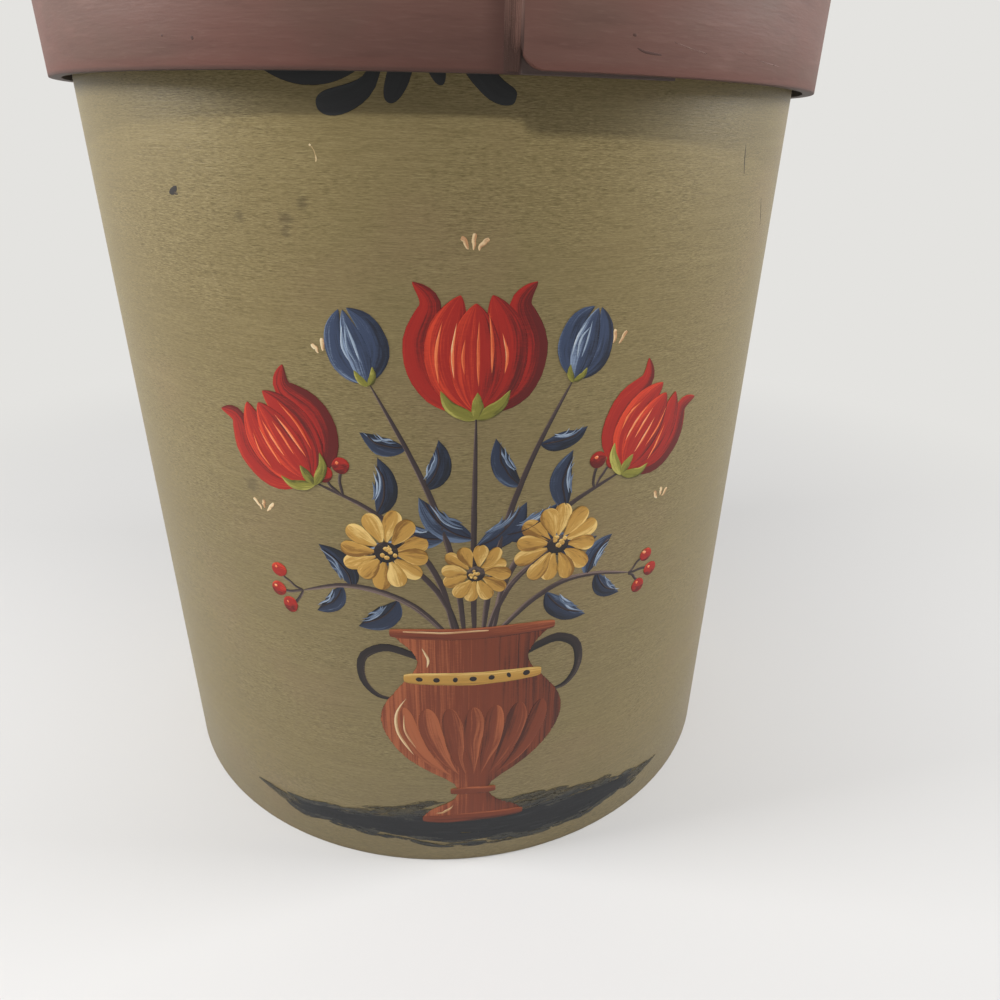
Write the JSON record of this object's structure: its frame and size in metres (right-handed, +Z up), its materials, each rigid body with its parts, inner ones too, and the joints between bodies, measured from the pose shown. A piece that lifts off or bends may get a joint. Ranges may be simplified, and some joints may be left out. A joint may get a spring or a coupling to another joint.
{
  "type": "bentwood pantry box",
  "caption": "Tall round pantry box of painted bentwood, with a lapped and tacked side band, a let-in bottom board and a slip-on lid that lifts off.",
  "frame": {"origin": "centre of the underside, on the surface the box stands on", "axes": "+Z up along the box's axis, front towards -Y, +X to the right as seen from the front"},
  "size_m": [0.2148, 0.2165, 0.2601],
  "materials": {
    "olive_paint": "thin matte olive paint over bent wood, grain showing",
    "rose_paint": "matte dusty rose paint over wood",
    "bare_wood": "unpainted, dry and aged",
    "tack_steel": "dulled steel, heads painted over with the wood"
  },
  "bodies": {
    "box": {"side_band": "olive_paint", "bottom_board": "bare_wood", "side_lap_tacks": "tack_steel", "bottom_brads": "tack_steel"},
    "lid": {"lid_band": "rose_paint", "lid_board": "rose_paint", "lid_lap_tacks": "tack_steel", "lid_brads": "tack_steel"}
  },
  "joints": [
    {"name": "lid_lift", "type": "slide", "parent": "box", "child": "lid", "axis": [0, 0, 1], "range_m": [0, 0.25]}
  ]
}
